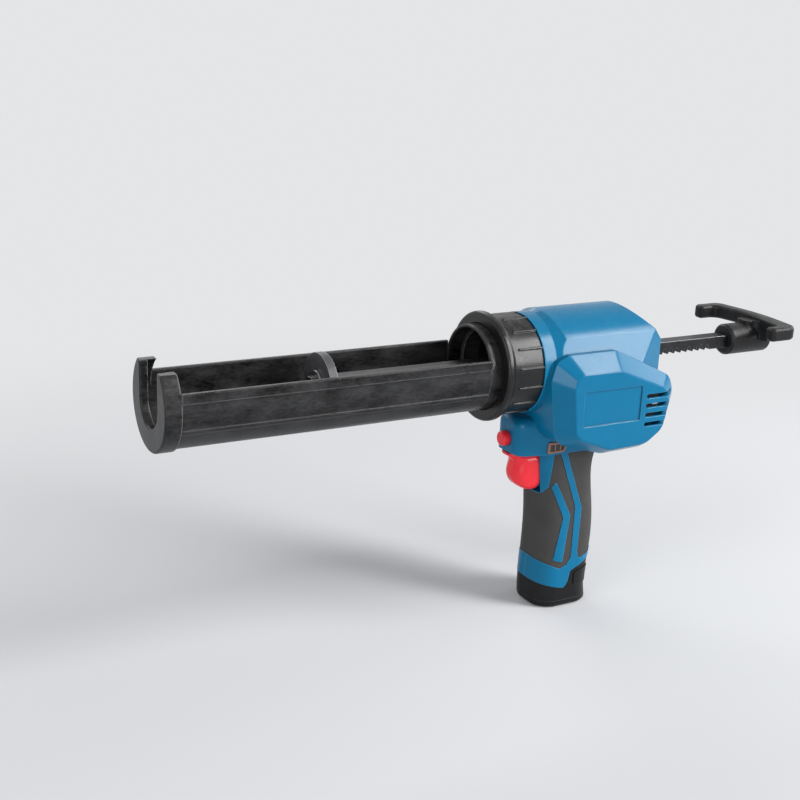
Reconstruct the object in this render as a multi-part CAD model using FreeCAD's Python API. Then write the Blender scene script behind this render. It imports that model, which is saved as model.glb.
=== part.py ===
"""Cordless caulking tool: a pistol-grip body that drives a toothed rod into a half-open cartridge carrier.

The nozzle end points along -X, the user's left side is -Y and +Z is up. The origin is the middle of the
flat underside of the battery foot. All sizes are in millimetres.
"""
import FreeCAD
import Part
import math
import os

V = FreeCAD.Vector

# Fits and gaps
part_gap = 0.3
running_gap = 0.06
slide_gap = 0.1
thread_gap = 0.08
seat_gap = 0.02

# Heights: foot to neck, and neck to the barrel axis
grip_height = 113.0
barrel_rise = 61.0

# Barrel line: cartridge, carrier, lock ring and adaptor
collar_front_x = -43.0
cartridge_radius = 25.0
cartridge_length = 215.0
cartridge_play = 0.5
cartridge_end_play = 1.0
carrier_wall = 2.3
rail_height = 11.5
rail_lip_height = 6.0
rail_lip_proud = 0.9
rail_round = 0.8
carrier_ridge_drop = 11.5
carrier_ridge_radius = 1.8
carrier_ridge_proud = 0.9
cup_plate = 5.0
cup_band_length = 10.0
cup_band_proud = 1.3
cup_top_height = 21.0
cup_round = 1.2
nozzle_slot_radius = 15.0
seat_step = 1.4
carrier_flange_length = 9.0
carrier_flange_proud = 1.6
carrier_ring_lead = 8.0
lock_ring_length = 28.7
lock_ring_lip = 5.0
lip_play = 0.5
lock_ring_roll = 1.8
lock_ring_wall = 2.0
lock_ring_flange_radius = 35.5
lock_ring_flange_length = 4.5
lock_ring_neck_length = 6.5
lock_ring_rib_count = 16
lock_ring_rib_turn = 14.0
lock_ring_rib_width = 1.5
lock_ring_rib_proud = 0.9
adaptor_bulkhead = 5.0
adaptor_flange_proud = 1.5
adaptor_flange_length = 3.0

# Toothed rod, piston and pull handle
rod_width = 10.0
rod_top = 4.0
rod_tooth_drop = 4.6
rod_front_x = -183.0
rod_rear_x = 163.0
tooth_module = 1.75
pressure_angle = math.radians(25.0)
tooth_backlash = 0.12
pinion_teeth = 12
final_teeth = 28
rack_plain_front = 14.0
rack_plain_rear = 38.0
piston_play = 4.4
piston_plate_thickness = 3.0
piston_rim_height = 2.2
piston_rim_width = 1.6
piston_bolt_radius = 5.5
piston_bolt_head = 3.6
piston_bolt_shank = 2.5
piston_bolt_depth = 14.0
piston_washer_radius = 8.5
piston_washer_thickness = 1.5
handle_boss_wall = 4.4
handle_boss_length = 37.0
handle_boss_chamfer = 1.5
handle_socket_depth = 29.0
handle_bar_half = 41.0
handle_bar_depth = 9.5
handle_bar_height = 9.6
handle_bar_rise = 11.6
handle_bar_bow = 6.0
handle_bar_inset = 1.0
handle_arm_reach = 23.0
handle_arm_width = 8.5
handle_web_half = 6.0
handle_web_flare = 17.0
handle_web_length = 20.0
handle_pin_radius = 2.0
handle_pin_inset = 1.0

# Drive train
pinion_x = 0.0
pinion_width = 12.0
shaft_radius = 5.0
shaft_bush_wall = 3.0
drive_reach_x = 33.0
gear_width = 7.0
frame_plate = 4.0
left_plate_y = -16.0
right_plate_y = 16.0
frame_front_drop = 14.0
frame_margin = 5.0
frame_disc_gap = 2.0
frame_screw_angle = math.radians(60.0)
gear_plane_gap = 2.0
output_shaft_radius = 3.0
gearbox_radius = 15.0
gearbox_length = 20.0
motor_radius = 14.0
motor_length = 34.0
motor_cap_length = 3.0
terminal_length = 2.0
rod_bush_wall = 4.0
front_bush_length = 8.0
rear_bush_length = 11.0
backing_pad_half = 7.0
backing_pad_thickness = 2.0
bridge_extra = 1.0
shaft_left_end = 3.0
shaft_right_end = 2.0
clip_thickness = 1.0
clip_width = 2.5
clip_inset = 0.6
gear_pocket_depth = 1.5
gear_rim = 3.0
gear_hub_wall = 5.0
output_shaft_seat = 3.0
output_shaft_end = 1.0
output_shaft_play = 2.0
gearbox_chamfer = 1.2
motor_round = 1.5
motor_cap_step = 2.0
terminal_spread = 7.0
terminal_width = 4.0
terminal_thickness = 0.8

# Moulded housing
housing_wall = 2.6
collar_wall = 1.4
collar_length = 9.0
front_flare = 0.35
body_side_proud = 3.5
crown_proud = 1.5
shoulder_inset = 7.5
shoulder_drop = 13.5
slope_start_x = 33.0
rear_x = 56.0
rear_slope_height = 13.5
taper_start_x = 31.5
rear_half_width = 24.0
body_round = 1.6
pod_sink = 0.5
pod_round = 2.0
motor_end_play = 0.4
rear_boss_wall = 3.4
rear_boss_length = 6.0
rear_boss_chamfer = 1.2
rear_bush_sink = 8.0
label_depth = 0.8
vent_count = 4
vent_height = 3.0
vent_pitch = 6.4
vent_drop = 17.0
vent_front_x = 30.0
label_low = 34.0
label_high = 10.5
screw_shank_radius = 1.5
screw_head_radius = 2.8
screw_head_length = 2.4
screw_seat_y = 8.0
screw_reach = 10.0
screw_boss_radius = 4.0

# Nose, neck and grip
nose_lead = 3.5
nose_half_width = 12.5
nose_drop = 36.0
nose_round = 6.0
neck_half_width = 18.6
grip_wall = 3.2
grip_corner = 15.0
pad_thickness = 1.3
stripe_proud = 0.35
foot_height_front = 19.5
foot_height_side = 13.8

# Trigger, lock button, switch and gauge
trigger_half_width = 10.0
trigger_travel = 6.0
trigger_drop = 9.0
trigger_rear_x = -24.0
trigger_skirt_x = -20.4
trigger_nose = 0.85
trigger_low = 18.4
trigger_skirt_low = 8.0
trigger_roof_gap = 0.4
trigger_floor_gap = 1.8
plunger_radius = 2.6
button_radius = 5.0
button_rise = 9.5
button_proud = 5.1
button_length = 16.0
button_round = 1.4
button_travel = 3.0
switch_half_width = 10.0
switch_front_x = -13.0
switch_length = 28.0
switch_below = 7.0
switch_height = 20.0
gauge_thickness = 2.2
gauge_proud = 0.6
gauge_rim = 1.4
board_y = -28.0
board_thickness = 1.6
board_post_radius = 2.2

# Battery
stick_corner = 7.0
stick_drop = 25.0
stick_wall = 1.3
stick_roof = 2.0
stick_play = 0.35
cell_radius = 7.0
cell_gap = 0.1
cell_room_x = 1.15
cell_room_y = 0.6
cell_slack = 2.0
cell_bottom = 20.0
base_height = 5.0
foot_round = 3.0
contact_block_height = 6.0
latch_front_x = 4.0
latch_length = 15.0
latch_low = 15.0
latch_height = 12.5
latch_slant = 3.5
latch_travel = 2.0
latch_thickness = 3.2
latch_root_y = 11.0
latch_proud = 0.6
blade_thickness = 1.0
blade_width = 6.0
blade_pitch = 8.0
blade_reach = 3.0

# Values that follow from the sizes above
axis_height = grip_height + barrel_rise
bore_radius = cartridge_radius + cartridge_play
stop_ring_radius = cartridge_radius - seat_step
piston_radius = stop_ring_radius - piston_play
trough_radius = bore_radius + carrier_wall
cup_radius = trough_radius + cup_band_proud
lock_ring_front_x = collar_front_x - part_gap - lock_ring_length
lip_radius = trough_radius + lip_play
flange_radius = lip_radius + carrier_flange_proud
ring_bore_radius = flange_radius + part_gap
ring_body_radius = ring_bore_radius + lock_ring_wall
flange_front_x = lock_ring_front_x + lock_ring_lip + part_gap
flange_rear_x = flange_front_x + carrier_flange_length
adaptor_front_x = flange_rear_x + part_gap
seat_x = lock_ring_front_x + lock_ring_lip / 2
carrier_front_x = seat_x - cartridge_end_play - cartridge_length - cup_plate
bulkhead_x = collar_front_x + adaptor_bulkhead
adaptor_flange_x = bulkhead_x - adaptor_flange_length
frame_front_x = bulkhead_x
tooth_pitch = math.pi * tooth_module
addendum = tooth_module
dedendum = 1.25 * tooth_module
pinion_radius = tooth_module * pinion_teeth / 2
final_radius = tooth_module * final_teeth / 2
rack_line_z = axis_height - rod_tooth_drop + addendum
pinion_z = rack_line_z - pinion_radius
gear_distance = pinion_radius + final_radius
drive_x = pinion_x + drive_reach_x
drive_z = pinion_z - math.sqrt(gear_distance ** 2 - drive_reach_x ** 2)
right_plate_outer = right_plate_y + frame_plate
gear_y = right_plate_outer + gear_plane_gap
left_plate_inner = left_plate_y + frame_plate
gearbox_y = right_plate_y - gearbox_length
motor_y = gearbox_y - motor_length
rod_middle_z = axis_height + (rod_top - rod_tooth_drop) / 2
rod_depth = rod_top + rod_tooth_drop
rod_corner = math.hypot(rod_width / 2, rod_depth / 2)
rod_bush_radius = rod_corner + rod_bush_wall
rear_boss_radius = rod_bush_radius + rear_boss_wall
rear_bush_x = rear_x - rear_bush_sink
handle_boss_radius = rod_corner + handle_boss_wall
handle_boss_front_x = rod_rear_x - handle_socket_depth
collar_radius = ring_bore_radius - thread_gap + adaptor_flange_proud + collar_wall
body_half_width = collar_radius + body_side_proud
crown_height = collar_radius + crown_proud
shoulder_half_width = body_half_width - shoulder_inset
shoulder_height = crown_height - shoulder_drop
pod_root_y = body_half_width - pod_sink
pod_face_y = motor_end_play + housing_wall + motor_cap_length + terminal_length - motor_y
side_limit = pod_face_y + 14.0
nose_front_x = collar_front_x - nose_lead
nose_top = axis_height - nose_drop
trigger_z = grip_height - trigger_drop
switch_bottom = trigger_z - switch_below
button_z = grip_height + button_rise
button_front_x = nose_front_x - button_proud
stick_top = grip_height - stick_drop
cell_spread = cell_radius + cell_gap / 2
cell_offset = cell_spread * math.sqrt(3) / 2
cell_length = stick_top - stick_roof - cell_slack - cell_bottom
stick_half_x = cell_spread + cell_radius + cell_room_x + stick_wall
stick_half_y = cell_offset + cell_radius + cell_room_y + stick_wall
grip_half_width = stick_half_y + grip_wall


def place(axis, u, v, level):
    """Turn a flat point into space: axis names the direction that the flat drawing faces."""
    if axis == "x":
        return V(level, u, v)
    if axis == "y":
        return V(u, level, v)
    return V(u, v, level)


def corner_points(before, corner, after, radius):
    """Start, middle and end of the arc that rounds one corner of an outline."""
    a = FreeCAD.Vector(before[0] - corner[0], before[1] - corner[1], 0)
    b = FreeCAD.Vector(after[0] - corner[0], after[1] - corner[1], 0)
    room = 0.48 * min(a.Length, b.Length)
    half = a.getAngle(b) / 2
    reach = min(radius / math.tan(half), room)
    radius = reach * math.tan(half)
    a.normalize()
    b.normalize()
    middle = (a + b).normalize() * (radius / math.sin(half) - radius)
    at = V(corner[0], corner[1], 0)
    return at + a * reach, at + middle, at + b * reach


def outline(points, axis, level, radius=0.0):
    """Closed wire through flat points; a third entry of a point is its own corner radius."""
    edges = []
    ends = []
    count = len(points)
    for i, point in enumerate(points):
        own = point[2] if len(point) > 2 else radius
        if own > 0:
            arc = corner_points(points[i - 1], point, points[(i + 1) % count], own)
            ends.append([place(axis, p.x, p.y, level) for p in arc])
        else:
            ends.append([place(axis, point[0], point[1], level)])
    for i, group in enumerate(ends):
        if len(group) == 3:
            edges.append(Part.Arc(*group).toShape())
        start, stop = group[-1], ends[(i + 1) % count][0]
        if (stop - start).Length > 1e-6:
            edges.append(Part.LineSegment(start, stop).toShape())
    return Part.Wire(edges)


def prism(points, axis, start, end, radius=0.0):
    """Solid with a flat outline, from one level to another along an axis."""
    face = Part.Face(outline(points, axis, start, radius))
    return face.extrude(place(axis, 0, 0, end - start))


def block(x0, x1, y0, y1, z0, z1):
    """Plain rectangular solid between two corners."""
    return Part.makeBox(x1 - x0, y1 - y0, z1 - z0, V(x0, y0, z0))


def bar(axis, u, v, radius, start, end):
    """Round bar along an axis, through the flat point u, v."""
    return Part.makeCylinder(radius, end - start, place(axis, u, v, start), place(axis, 0, 0, 1))


def turned(profile):
    """Solid turned about the barrel axis from (x, radius) points; a third entry rounds that corner."""
    face = Part.Face(outline(raised(profile, axis_height), "y", 0))
    return face.revolve(V(0, 0, axis_height), V(1, 0, 0), 360)


def fused(first, *others):
    """One solid from several that touch or overlap."""
    return first.fuse(list(others)).removeSplitter()


def inset_outline(points, depth):
    """Convex outline with every side moved inwards by one depth."""
    middle_u = sum(p[0] for p in points) / len(points)
    middle_v = sum(p[1] for p in points) / len(points)
    sides = []
    for i, p in enumerate(points):
        q = points[(i + 1) % len(points)]
        length = math.hypot(q[0] - p[0], q[1] - p[1])
        n = ((q[1] - p[1]) / length, (p[0] - q[0]) / length)
        offset = n[0] * p[0] + n[1] * p[1]
        if n[0] * middle_u + n[1] * middle_v > offset:
            n = (-n[0], -n[1])
            offset = -offset
        sides.append((n[0], n[1], offset - depth))
    moved = []
    for i, (a, b, c) in enumerate(sides):
        d, e, f = sides[i - 1]
        det = d * b - a * e
        corner = [max(r - depth, 0.2 * r) for r in points[i][2:]]
        moved.append(((f * b - c * e) / det, (d * c - a * f) / det, *corner))
    return moved


def raised(points, height):
    """Outline points moved up from a height that they were measured from."""
    return [(x, height + rise, *corner) for x, rise, *corner in points]


def export(name, *solids):
    """Write one node; several solids become a group."""
    shape = solids[0] if len(solids) == 1 else Part.makeCompound(list(solids))
    shape.exportStep(f"parts/{name}.step")
    print(name, len(shape.Solids), round(shape.Volume, 1), shape.isValid())


# Gears and rack


def gear_outline(teeth, axis_x, axis_z, level, phase):
    """Involute gear outline, with one tooth centred on the direction given by phase."""
    pitch = tooth_module * teeth / 2
    base = pitch * math.cos(pressure_angle)
    root = pitch - dedendum
    tip = pitch + addendum
    half = (math.pi * tooth_module / 2 - tooth_backlash / 2) / (2 * pitch)
    involute = math.tan(pressure_angle) - pressure_angle

    def point(radius, angle):
        return V(axis_x + radius * math.cos(angle), level, axis_z + radius * math.sin(angle))

    def flank(radius):
        turn = math.acos(min(1.0, base / radius))
        return half + involute - (math.tan(turn) - turn)

    start = max(base, root)
    middle = (start + tip) / 2
    edges = []
    for k in range(teeth):
        centre = phase + 2 * math.pi * k / teeth
        after = centre + 2 * math.pi / teeth - flank(start)
        low = [point(start, centre - flank(start)), point(start, centre + flank(start))]
        high = [point(tip, centre - flank(tip)), point(tip, centre + flank(tip))]
        edges.append(Part.Arc(low[0], point(middle, centre - flank(middle)), high[0]).toShape())
        edges.append(Part.LineSegment(high[0], high[1]).toShape())
        edges.append(Part.Arc(high[1], point(middle, centre + flank(middle)), low[1]).toShape())
        foot = [point(root, centre + flank(start)), point(root, after)]
        if start > root:
            edges.append(Part.LineSegment(low[1], foot[0]).toShape())
        edges.append(Part.LineSegment(foot[0], foot[1]).toShape())
        if start > root:
            edges.append(Part.LineSegment(foot[1], point(start, after)).toShape())
    return Part.Wire(edges)


def gear(teeth, x, z, y0, y1, phase, bore):
    """Spur gear on an axis along Y, bored for its shaft."""
    body = Part.Face(gear_outline(teeth, x, z, y0, phase)).extrude(V(0, y1 - y0, 0))
    return body.cut(bar("y", x, z, bore, y0, y1))


def rack_outline():
    """Side view of the toothed rod: flat top, straight-sided teeth underneath."""
    tip_z = axis_height - rod_tooth_drop
    root_z = rack_line_z + dedendum
    top_z = axis_height + rod_top
    tip_half = tooth_pitch / 4 - tooth_backlash / 4 - addendum * math.tan(pressure_angle)
    root_half = tooth_pitch / 4 - tooth_backlash / 4 + dedendum * math.tan(pressure_angle)
    first = math.ceil((rod_front_x + rack_plain_front - pinion_x) / tooth_pitch)
    last = math.floor((rod_rear_x - rack_plain_rear - pinion_x) / tooth_pitch)
    points = [(rod_front_x, top_z), (rod_front_x, tip_z)]
    for k in range(first, last):
        gap = pinion_x + k * tooth_pitch
        left = gap - tooth_pitch / 2
        right = gap + tooth_pitch / 2
        points.append((left + tip_half, tip_z))
        points.append((left + root_half, root_z))
        points.append((right - root_half, root_z))
        points.append((right - tip_half, tip_z))
    points += [(rod_rear_x, tip_z), (rod_rear_x, top_z)]
    return points


def build_rod():
    """Toothed rod, piston, its washer and bolt, the pull handle and its pin."""
    rod = prism(rack_outline(), "y", -rod_width / 2, rod_width / 2)
    bolt_end = rod_front_x + piston_bolt_depth
    plate_front = rod_front_x - piston_plate_thickness
    washer_front = plate_front - piston_washer_thickness
    rod = rod.cut(bar("x", 0, axis_height, piston_bolt_shank, rod_front_x, bolt_end))
    plate = turned([
        (plate_front, piston_bolt_shank), (plate_front, piston_radius), (rod_front_x, piston_radius),
        (rod_front_x + piston_rim_height, piston_radius),
        (rod_front_x + piston_rim_height, piston_radius - piston_rim_width),
        (rod_front_x, piston_radius - piston_rim_width), (rod_front_x, piston_bolt_shank)])
    washer = bar("x", 0, axis_height, piston_washer_radius, washer_front, plate_front)
    washer = washer.cut(bar("x", 0, axis_height, piston_bolt_shank, washer_front, plate_front))
    hexagon = [(piston_bolt_radius * math.cos(math.pi * k / 3),
                axis_height + piston_bolt_radius * math.sin(math.pi * k / 3)) for k in range(6)]
    head = prism(hexagon, "x", washer_front - piston_bolt_head, washer_front)
    bolt = fused(head, bar("x", 0, axis_height, piston_bolt_shank, washer_front, bolt_end))
    handle, pin = build_handle()
    rod = rod.cut(pin)
    export("rack_rod", rod)
    export("piston_plate", plate)
    export("piston_washer", washer)
    export("piston_bolt", bolt)
    export("pull_handle", handle)
    export("handle_pin", pin)


def build_handle():
    """Bowed T-bar with forward ends on a socket for the rod's rear end, and the cross pin that holds it."""
    boss_rear = handle_boss_front_x + handle_boss_length
    boss = bar("x", 0, axis_height, handle_boss_radius, handle_boss_front_x, boss_rear)
    boss = boss.makeChamfer(handle_boss_chamfer, [e for e in boss.Edges if e.Closed])
    half = handle_bar_half
    inner = half - handle_arm_width
    rear = boss_rear - handle_bar_inset
    side_rear = rear - handle_bar_bow
    front = rear - handle_bar_depth
    side_front = front - handle_bar_bow
    tip = side_rear - handle_arm_reach
    outer_bend = handle_arm_width
    inner_bend = 0.7 * outer_bend
    tip_round = 0.35 * outer_bend
    right = [(rear, 0, 3 * half), (side_rear, half, outer_bend), (tip, half, tip_round),
             (tip, inner, tip_round), (side_front, inner, inner_bend), (front, 0, 2 * half)]
    plan = right + [(x, -y, r) for x, y, r in right[-2:0:-1]]
    low = axis_height + handle_bar_rise - handle_bar_height / 2
    high = low + handle_bar_height
    cross = prism(plan, "z", low, high)
    cross = cross.makeFillet(handle_bar_height / 4, [e for e in cross.Edges if e.BoundBox.ZLength < 1e-6])
    web_front = rear - handle_web_length
    web_rear = rear - handle_bar_depth / 2
    web_top = high - handle_bar_height / 3
    web_round = handle_web_half / 2
    web_side = [(web_front, handle_web_half, web_round), (front - web_round, handle_web_half, 2 * web_round),
                (front, handle_web_flare), (web_rear, handle_web_flare)]
    other_side = [(x, -y, *corner) for x, y, *corner in reversed(web_side)]
    web = prism(web_side + other_side, "z", axis_height, web_top)
    socket = block(handle_boss_front_x - 1, rod_rear_x, -rod_width / 2, rod_width / 2,
                   axis_height - rod_tooth_drop, axis_height + rod_top)
    pin_x = handle_boss_front_x + handle_socket_depth / 2
    pin_half = handle_boss_radius - handle_pin_inset
    pin = bar("y", pin_x, axis_height, handle_pin_radius, -pin_half, pin_half)
    handle = fused(boss, web, cross).cut(socket).cut(pin)
    return handle, pin


def build_barrel():
    """Cartridge carrier, lock ring and the adaptor that the ring screws on to."""
    build_carrier()
    build_lock_ring()
    build_adaptor()


def trough_section(radius, top, x0, x1):
    """U-shaped bar: round underneath, straight sides above the axis."""
    lower = bar("x", 0, axis_height, radius, x0, x1)
    upper = block(x0, x1, -radius, radius, axis_height, axis_height + top)
    keep = block(x0, x1, -2 * radius, 2 * radius, axis_height - 2 * radius, axis_height + top)
    return lower.common(keep).fuse(upper).removeSplitter()


def build_carrier():
    """Half-open trough with rolled rails, a slotted front cup and a swivel flange at the rear."""
    ring_front = lock_ring_front_x - carrier_ring_lead
    band_rear = carrier_front_x + cup_band_length
    rail_top = axis_height + rail_height
    trough = trough_section(trough_radius, rail_height, band_rear, ring_front)
    lips = [block(band_rear, ring_front, side - rail_lip_proud, side + rail_lip_proud,
                  rail_top - rail_lip_height, rail_top)
            for side in (-trough_radius, trough_radius)]
    ridge_centre = trough_radius + carrier_ridge_proud - carrier_ridge_radius
    ridge_y = math.sqrt(ridge_centre ** 2 - carrier_ridge_drop ** 2)
    ridge_z = axis_height - carrier_ridge_drop
    ridges = [bar("x", side * ridge_y, ridge_z, carrier_ridge_radius, band_rear, ring_front)
              for side in (-1, 1)]
    bore = bar("x", 0, axis_height, bore_radius, band_rear, ring_front)
    drop_in = block(band_rear, ring_front, -bore_radius, bore_radius, axis_height, rail_top + 1)
    rails = fused(trough, *lips, *ridges).cut([bore, drop_in])
    tops = [e for e in rails.Edges if e.BoundBox.XLength > 1 and abs(e.CenterOfMass.z - rail_top) < 1e-3]
    rails = rails.makeFillet(rail_round, tops)
    sleeve = bar("x", 0, axis_height, trough_radius, ring_front, flange_rear_x)
    flange = bar("x", 0, axis_height, flange_radius, flange_front_x, flange_rear_x)
    seat = bar("x", 0, axis_height, bore_radius, ring_front, seat_x)
    passage = bar("x", 0, axis_height, stop_ring_radius, seat_x - 1, flange_rear_x)
    sleeve = fused(sleeve, flange).cut([seat, passage])
    mouth = [e for e in sleeve.Edges if e.Closed and abs(e.CenterOfMass.x - ring_front) < 1e-3]
    sleeve = sleeve.makeFillet(rail_round, mouth)
    export("cartridge_carrier", fused(build_cup(), rails, sleeve))


def build_cup():
    """Slotted front cup: a plate with a U-shaped notch and a band round it, cut off level at the top."""
    hollow_front = carrier_front_x + cup_plate
    band_rear = carrier_front_x + cup_band_length
    cup_top = axis_height + cup_top_height
    notch = nozzle_slot_radius
    band = bar("x", 0, axis_height, cup_radius, carrier_front_x, band_rear)
    hollow = bar("x", 0, axis_height, bore_radius, hollow_front, band_rear)
    above = block(carrier_front_x, band_rear, -2 * cup_radius, 2 * cup_radius, cup_top, cup_top + cup_radius)
    slot = fused(bar("x", 0, axis_height, notch, carrier_front_x, hollow_front),
                 block(carrier_front_x, hollow_front, -notch, notch, axis_height, cup_top))
    cup = band.cut([hollow, above, slot])
    rim = [e for e in cup.Edges
           if e.BoundBox.XLength < 1e-6 and abs(e.CenterOfMass.x - carrier_front_x) < 1e-3]
    return cup.makeFillet(cup_round, rim)


def build_lock_ring():
    """Ring with a rolled front flange, a hollow neck behind it and straight grip ribs round its rear."""
    x0 = lock_ring_front_x
    x1 = x0 + lock_ring_length
    neck = x0 + lock_ring_flange_length
    rib_front = neck + lock_ring_neck_length
    lip_x = x0 + lock_ring_lip
    roll = lock_ring_roll
    body = turned([
        (x0, lip_radius), (x0, lock_ring_flange_radius, roll), (neck, lock_ring_flange_radius, roll),
        (neck + roll, ring_body_radius, 2 * roll), (x1, ring_body_radius, roll / 2),
        (x1, ring_bore_radius), (lip_x, ring_bore_radius), (lip_x, lip_radius)])
    top = axis_height + ring_body_radius + lock_ring_rib_proud
    rib = block(rib_front, x1, -lock_ring_rib_width / 2, lock_ring_rib_width / 2,
                axis_height + ring_body_radius - lock_ring_rib_proud, top)
    rib = rib.makeFillet(lock_ring_rib_width / 3, [e for e in rib.Edges if e.CenterOfMass.z > top - 1e-3])
    ribs = []
    for k in range(lock_ring_rib_count):
        copy = rib.copy()
        turn = lock_ring_rib_turn + 360.0 * k / lock_ring_rib_count
        copy.rotate(V(0, 0, axis_height), V(1, 0, 0), turn)
        ribs.append(copy)
    export("lock_ring", fused(body, *ribs))


def adaptor_profile(gap):
    """Profile of the adaptor's outside, grown by a gap for the seat that the housing gives it."""
    spigot = ring_bore_radius - thread_gap
    return [(adaptor_flange_x - gap, 0), (adaptor_flange_x - gap, spigot + adaptor_flange_proud + gap),
            (adaptor_flange_x + adaptor_flange_length + gap, spigot + adaptor_flange_proud + gap),
            (adaptor_flange_x + adaptor_flange_length + gap, 0)]


def build_adaptor():
    """Threaded spigot with a bulkhead, a flange held by the housing and a sliding bush for the rod."""
    spigot = ring_bore_radius - thread_gap
    body = turned([(adaptor_front_x, stop_ring_radius), (adaptor_front_x, spigot), (bulkhead_x, spigot),
                   (bulkhead_x, 0), (collar_front_x, 0), (collar_front_x, stop_ring_radius)])
    body = fused(body, turned(adaptor_profile(0)))
    bush_x = bulkhead_x - front_bush_length
    body = body.cut(bar("x", 0, rod_middle_z, rod_bush_radius, bush_x - 1, bulkhead_x + 1))
    export("barrel_adaptor", body.cut(frame_screw_shanks(screw_shank_radius)).removeSplitter())
    export("front_rod_bush", rod_bush(bush_x, bulkhead_x))


def rod_bush(x0, x1):
    """Round bush with a rectangular window that the rod slides through."""
    half = rod_width / 2 + slide_gap
    window = block(x0 - 1, x1 + 1, -half, half, axis_height - rod_tooth_drop - slide_gap,
                   axis_height + rod_top + slide_gap)
    return bar("x", 0, rod_middle_z, rod_bush_radius, x0, x1).cut(window)


def frame_screw_shanks(radius):
    """Bars at the four screws that hold the gear frame to the adaptor."""
    reach = (rod_bush_radius + stop_ring_radius) / 2
    bars = []
    for side in (-1, 1):
        for level in (-1, 1):
            y = side * reach * math.cos(frame_screw_angle)
            z = axis_height + level * reach * math.sin(frame_screw_angle)
            bars.append(bar("x", y, z, radius, collar_front_x - 1, frame_front_x + frame_plate + 1))
    return bars


# Drive


def build_gear_frame():
    """Cast frame: a front plate on the adaptor, two side plates and a bridge over the rod."""
    bush = shaft_radius + shaft_bush_wall
    low = pinion_z - bush - frame_margin
    pad_top = axis_height + rod_top + slide_gap + backing_pad_thickness
    high = pad_top + frame_margin + bridge_extra
    rear = pinion_x + bush + frame_margin
    front = frame_front_x
    nose = [(front + frame_front_drop, low, 6), (front, axis_height - frame_front_drop, 3), (front, high, 6),
            (pinion_x + backing_pad_half, high, 3)]
    left_plan = nose + [(rear, pinion_z + bush, 4), (rear, low, 6)]
    below = drive_z - gearbox_radius
    behind = drive_x + gearbox_radius
    right_plan = nose + [(drive_x, drive_z + gearbox_radius + 1, 6), (behind, drive_z + 4, 8),
                         (behind, below, 12), (drive_x - gearbox_radius, below, 6)]
    left = prism(left_plan, "y", left_plate_y, left_plate_inner)
    right = prism(right_plan, "y", right_plate_y, right_plate_outer)
    disc = bar("x", 0, axis_height, stop_ring_radius, front, front + frame_plate)
    bridge = block(pinion_x - backing_pad_half, pinion_x + backing_pad_half, left_plate_y, right_plate_outer,
                   pad_top, high)
    window = bar("x", 0, rod_middle_z, rod_bush_radius - 1.0, front - 1, front + frame_plate + 1)
    cuts = [window, bar("y", pinion_x, pinion_z, bush, left_plate_y - 1, right_plate_outer + 1),
            bar("y", drive_x, drive_z, output_shaft_radius + output_shaft_play, right_plate_y - 1,
                right_plate_outer + 1)]
    frame = fused(left, right, disc, bridge).cut(cuts + frame_screw_shanks(screw_shank_radius))
    export("gear_frame", frame.removeSplitter())
    pad_low = pad_top - backing_pad_thickness
    pad = block(pinion_x - backing_pad_half, pinion_x + backing_pad_half, -rod_width / 2, rod_width / 2,
                pad_low, pad_top)
    export("rod_backing_pad", pad)
    screws = []
    for shank in frame_screw_shanks(screw_shank_radius - running_gap):
        box = shank.BoundBox
        face = frame_front_x + frame_plate
        middle = ((box.YMin + box.YMax) / 2, (box.ZMin + box.ZMax) / 2)
        body = bar("x", middle[0], middle[1], screw_shank_radius - running_gap, collar_front_x + 0.5, face)
        head = bar("x", middle[0], middle[1], screw_head_radius, face, face + screw_head_length)
        screws.append(fused(body, head))
    export("frame_screws", *screws)
    for name, y0 in (("left_shaft_bush", left_plate_y), ("right_shaft_bush", right_plate_y)):
        sleeve = bar("y", pinion_x, pinion_z, bush, y0, y0 + frame_plate)
        bore = bar("y", pinion_x, pinion_z, shaft_radius + running_gap, y0, y0 + frame_plate)
        export(name, sleeve.cut(bore))


def build_drive():
    """Cross shaft with the rack pinion and final gear, and the output shaft with the drive gear."""
    shaft_left = left_plate_y - shaft_left_end
    shaft_right = gear_y + gear_width + shaft_right_end
    export("cross_shaft", bar("y", pinion_x, pinion_z, shaft_radius, shaft_left, shaft_right))
    half = pinion_width / 2
    pinion = gear(pinion_teeth, pinion_x, pinion_z, -half, half, math.pi / 2, shaft_radius)
    export("rack_pinion", pinion)
    towards = math.atan2(drive_z - pinion_z, drive_x - pinion_x)
    final = gear(final_teeth, pinion_x, pinion_z, gear_y, gear_y + gear_width, towards, shaft_radius)
    pocket_radius = final_radius - dedendum - gear_rim
    for start in (gear_y, gear_y + gear_width - gear_pocket_depth):
        end = start + gear_pocket_depth
        hub = bar("y", pinion_x, pinion_z, shaft_radius + gear_hub_wall, start, end)
        final = final.cut(bar("y", pinion_x, pinion_z, pocket_radius, start, end).cut(hub))
    export("final_gear", final)
    clips = []
    for start in (shaft_left + clip_thickness, shaft_right - clip_inset - clip_thickness):
        end = start + clip_thickness
        washer = bar("y", pinion_x, pinion_z, shaft_radius + clip_width, start, end)
        clips.append(washer.cut(bar("y", pinion_x, pinion_z, shaft_radius, start, end)))
    export("shaft_clips", *clips)
    export("output_shaft", bar("y", drive_x, drive_z, output_shaft_radius, right_plate_y - output_shaft_seat,
                               gear_y + gear_width + output_shaft_end))
    gap_phase = towards + math.pi + math.pi / pinion_teeth
    export("drive_gear", gear(pinion_teeth, drive_x, drive_z, gear_y, gear_y + gear_width, gap_phase,
                              output_shaft_radius))


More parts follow.
